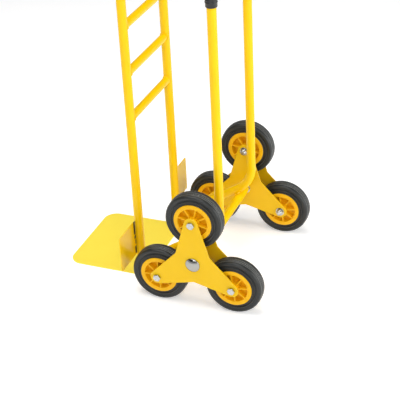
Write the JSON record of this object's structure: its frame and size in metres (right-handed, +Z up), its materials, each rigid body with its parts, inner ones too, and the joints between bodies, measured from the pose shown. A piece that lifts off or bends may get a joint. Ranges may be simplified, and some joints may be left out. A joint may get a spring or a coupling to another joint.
{
  "type": "stair climbing trolley",
  "caption": "Hand trolley with a bent steel tube frame and a flat toe plate, on a freely turning star of rubber wheels at each side for climbing stairs.",
  "frame": {"origin": "on the ground, in the middle of the trolley's length and width", "axes": "+Z up; the toe plate and the load are towards -Y and the person who pulls stands at +Y; +X is that person's left, along the axle"},
  "size_m": [0.5132, 0.628, 1.11],
  "materials": {
    "frame_paint": "gloss",
    "star_paint": "gloss",
    "toe_paint": "gloss",
    "rim_plastic": "satin",
    "tyre_rubber": "matte",
    "grip_rubber": "matte",
    "zinc_steel": "satin",
    "chrome": "mirror",
    "bush_nylon": "matte"
  },
  "bodies": {
    "frame": {"side_frame_left": "frame_paint", "wheel_guard_left": "star_paint", "grip_left": "grip_rubber", "axle_washer_left": "zinc_steel", "axle_cap_left": "chrome", "side_frame_right": "frame_paint", "wheel_guard_right": "star_paint", "grip_right": "grip_rubber", "axle_washer_right": "zinc_steel", "axle_cap_right": "chrome", "crossbar_1": "frame_paint", "crossbar_2": "frame_paint", "crossbar_3": "frame_paint", "crossbar_4": "frame_paint", "toe_plate": "toe_paint", "axle_tube": "frame_paint", "axle": "zinc_steel"},
    "star_left": {"star_outer_plate_left": "star_paint", "star_inner_plate_left": "star_paint", "hub_sleeve_left": "star_paint", "hub_bush_left": "bush_nylon", "wheel_bolt_left_top": "zinc_steel", "lock_nut_left_top": "zinc_steel", "wheel_bolt_left_front": "zinc_steel", "lock_nut_left_front": "zinc_steel", "wheel_bolt_left_rear": "zinc_steel", "lock_nut_left_rear": "zinc_steel"},
    "wheel_left_top": {"wheel_bush_left_top": "bush_nylon", "rim_left_top": "rim_plastic", "tyre_left_top": "tyre_rubber"},
    "wheel_left_front": {"wheel_bush_left_front": "bush_nylon", "rim_left_front": "rim_plastic", "tyre_left_front": "tyre_rubber"},
    "wheel_left_rear": {"wheel_bush_left_rear": "bush_nylon", "rim_left_rear": "rim_plastic", "tyre_left_rear": "tyre_rubber"},
    "star_right": {"star_outer_plate_right": "star_paint", "star_inner_plate_right": "star_paint", "hub_sleeve_right": "star_paint", "hub_bush_right": "bush_nylon", "wheel_bolt_right_top": "zinc_steel", "lock_nut_right_top": "zinc_steel", "wheel_bolt_right_front": "zinc_steel", "lock_nut_right_front": "zinc_steel", "wheel_bolt_right_rear": "zinc_steel", "lock_nut_right_rear": "zinc_steel"},
    "wheel_right_top": {"wheel_bush_right_top": "bush_nylon", "rim_right_top": "rim_plastic", "tyre_right_top": "tyre_rubber"},
    "wheel_right_front": {"wheel_bush_right_front": "bush_nylon", "rim_right_front": "rim_plastic", "tyre_right_front": "tyre_rubber"},
    "wheel_right_rear": {"wheel_bush_right_rear": "bush_nylon", "rim_right_rear": "rim_plastic", "tyre_right_rear": "tyre_rubber"}
  },
  "joints": [
    {"name": "star_left_spin", "type": "hinge", "parent": "frame", "child": "star_left", "pos_m": [0.214, 0.12618, 0.14225], "axis": [1, 0, 0], "continuous": true},
    {"name": "wheel_left_top_spin", "type": "hinge", "parent": "star_left", "child": "wheel_left_top", "pos_m": [0.214, 0.12618, 0.26675], "axis": [1, 0, 0], "continuous": true},
    {"name": "wheel_left_front_spin", "type": "hinge", "parent": "star_left", "child": "wheel_left_front", "pos_m": [0.214, 0.01836, 0.08], "axis": [1, 0, 0], "continuous": true},
    {"name": "wheel_left_rear_spin", "type": "hinge", "parent": "star_left", "child": "wheel_left_rear", "pos_m": [0.214, 0.234, 0.08], "axis": [1, 0, 0], "continuous": true},
    {"name": "star_right_spin", "type": "hinge", "parent": "frame", "child": "star_right", "pos_m": [-0.214, 0.12618, 0.14225], "axis": [1, 0, 0], "continuous": true},
    {"name": "wheel_right_top_spin", "type": "hinge", "parent": "star_right", "child": "wheel_right_top", "pos_m": [-0.214, 0.12618, 0.26675], "axis": [1, 0, 0], "continuous": true},
    {"name": "wheel_right_front_spin", "type": "hinge", "parent": "star_right", "child": "wheel_right_front", "pos_m": [-0.214, 0.01836, 0.08], "axis": [1, 0, 0], "continuous": true},
    {"name": "wheel_right_rear_spin", "type": "hinge", "parent": "star_right", "child": "wheel_right_rear", "pos_m": [-0.214, 0.234, 0.08], "axis": [1, 0, 0], "continuous": true}
  ]
}
